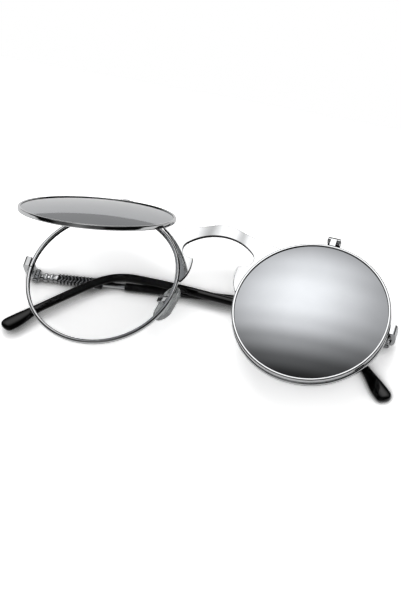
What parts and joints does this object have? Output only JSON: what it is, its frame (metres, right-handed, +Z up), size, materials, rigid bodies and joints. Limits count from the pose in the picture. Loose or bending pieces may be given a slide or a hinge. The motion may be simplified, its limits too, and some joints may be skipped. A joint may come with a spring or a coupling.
{
  "type": "flip up sunglasses",
  "caption": "Round metal sunglasses with mirror lenses that flip up from clear ones, a keyhole bridge plate, patterned temple grips and black ear sleeves, lying folded.",
  "frame": {"origin": "on the flat outer face of the left temple's sleeve, which the folded glasses lie on, 62 mm along the temple from its hinge", "axes": "+X along the front from the left lens to the right one, +Y up the front towards the flip hinges, +Z up from the table, out of the front's face to within a degree"},
  "size_m": [0.1325, 0.0557, 0.0535],
  "materials": {
    "chrome": "polished",
    "clear_lens": "polished",
    "mirror_lens": "mirror coated",
    "grip": "stamped herringbone with darkened grooves",
    "sleeve": "gloss",
    "silicone": "clear silicone",
    "screws": "polished"
  },
  "bodies": {
    "front": {"rim_left": "chrome", "rim_right": "chrome", "rim_lock_left": "chrome", "rim_lock_right": "chrome", "rim_lock_screws": "screws", "clear_lens_left": "clear_lens", "clear_lens_right": "clear_lens", "bridge_plate": "chrome", "endpiece_left": "chrome", "endpiece_right": "chrome", "temple_hinge_screws": "screws", "pad_arm_left": "chrome", "pad_arm_right": "chrome", "pad_box_left": "chrome", "pad_box_right": "chrome", "pad_screws": "screws", "flip_hinge_base_left": "chrome", "flip_hinge_base_right": "chrome", "flip_hinge_pins": "screws"},
    "flip_left": {"flip_ring_left": "chrome", "flip_leaf_left": "chrome", "mirror_lens_left": "mirror_lens"},
    "flip_right": {"flip_ring_right": "chrome", "flip_leaf_right": "chrome", "mirror_lens_right": "mirror_lens"},
    "temple_left": {"temple_leaf_left": "chrome", "temple_bar_left": "chrome", "temple_braid_left": "grip", "temple_sleeve_left": "sleeve"},
    "temple_right": {"temple_leaf_right": "chrome", "temple_bar_right": "chrome", "temple_braid_right": "grip", "temple_sleeve_right": "sleeve"},
    "pad_left": {"nose_pad_left": "silicone", "pad_insert_left": "chrome"},
    "pad_right": {"nose_pad_right": "silicone", "pad_insert_right": "chrome"}
  },
  "joints": [
    {"name": "temple_left_fold", "type": "hinge", "parent": "front", "child": "temple_left", "pos_m": [-0.06175, -0.00551, 0.00175], "axis": [0, 1, 0], "range_deg": [0, 92]},
    {"name": "temple_right_fold", "type": "hinge", "parent": "front", "child": "temple_right", "pos_m": [0.05923, -0.00551, 0.00386], "axis": [0, -1, 0], "range_deg": [0, 94]},
    {"name": "flip_left_lift", "type": "hinge", "parent": "front", "child": "flip_left", "pos_m": [-0.03746, 0.02219, 0.01232], "axis": [-0.996, 0, -0.0889], "range_deg": [-47.5, 42.5]},
    {"name": "flip_right_lift", "type": "hinge", "parent": "front", "child": "flip_right", "pos_m": [0.03458, 0.02219, 0.01358], "axis": [-0.9985, 0, 0.0541], "range_deg": [0, 90]},
    {"name": "pad_left_rock", "type": "hinge", "parent": "front", "child": "pad_left", "pos_m": [-0.01586, -0.00899, 0.0078], "axis": [-0.8258, 0.1473, -0.5444], "range_deg": [-8, 8]},
    {"name": "pad_right_rock", "type": "hinge", "parent": "front", "child": "pad_right", "pos_m": [0.01315, -0.00899, 0.0083], "axis": [0.8443, 0.1473, -0.5153], "range_deg": [-8, 8]}
  ]
}
